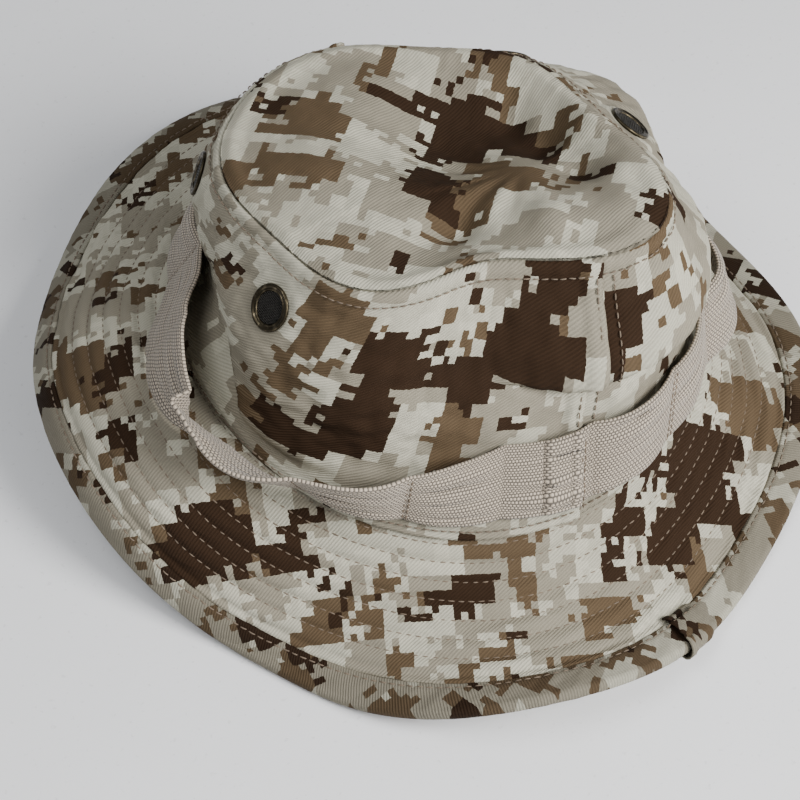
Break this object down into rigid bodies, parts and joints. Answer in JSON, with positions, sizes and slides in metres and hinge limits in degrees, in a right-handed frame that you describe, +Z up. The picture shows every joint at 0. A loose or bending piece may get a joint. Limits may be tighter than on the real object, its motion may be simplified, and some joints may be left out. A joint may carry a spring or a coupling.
{
  "type": "boonie hat",
  "caption": "Soft wide-brimmed sun hat in pixel-pattern camouflage twill, with a stitched brim, a webbing band with loops and screened side vents.",
  "frame": {"origin": "centre of the bounding box at the surface that the brim rests on", "axes": "+Z up out of the crown, +Y towards the front of the hat, so the webbing join at the centre back seam is at -Y, and +X towards the wearer's right"},
  "size_m": [0.2726, 0.305, 0.1083],
  "materials": {
    "camouflage_twill": "matt cotton twill printed with square camouflage patches in pale stone, taupe, tan and dark brown",
    "binding_twill": "the same twill cut on the bias, folded over the edge and stitched",
    "interlining": "plain off-white stiffening cloth, hidden inside the brim",
    "webbing": "coarse plain-woven nylon webbing, pinkish tan, slightly shiny",
    "sweatband_cloth": "plain tan cotton, matt",
    "label_tape": "blank satin tape, off-white",
    "antique_brass": "dark antiqued brass, rubbed brighter along the rolled edge",
    "vent_screen": "fine woven wire screen, black"
  },
  "bodies": {
    "root": {"brim_binding": "binding_twill", "brim_interlining": "interlining", "brim_lower_ply": "camouflage_twill", "brim_upper_ply": "camouflage_twill", "care_label": "label_tape", "crown_side_left": "camouflage_twill", "crown_side_right": "camouflage_twill", "crown_tip": "camouflage_twill", "size_label": "label_tape", "sweatband": "sweatband_cloth", "vent_rim_left_front": "antique_brass", "vent_rim_left_rear": "antique_brass", "vent_rim_right_front": "antique_brass", "vent_rim_right_rear": "antique_brass", "vent_screen_left_front": "vent_screen", "vent_screen_left_rear": "vent_screen", "vent_screen_right_front": "vent_screen", "vent_screen_right_rear": "vent_screen", "vent_washer_left_front": "antique_brass", "vent_washer_left_rear": "antique_brass", "vent_washer_right_front": "antique_brass", "vent_washer_right_rear": "antique_brass", "webbing_band": "webbing"}
  },
  "joints": []
}
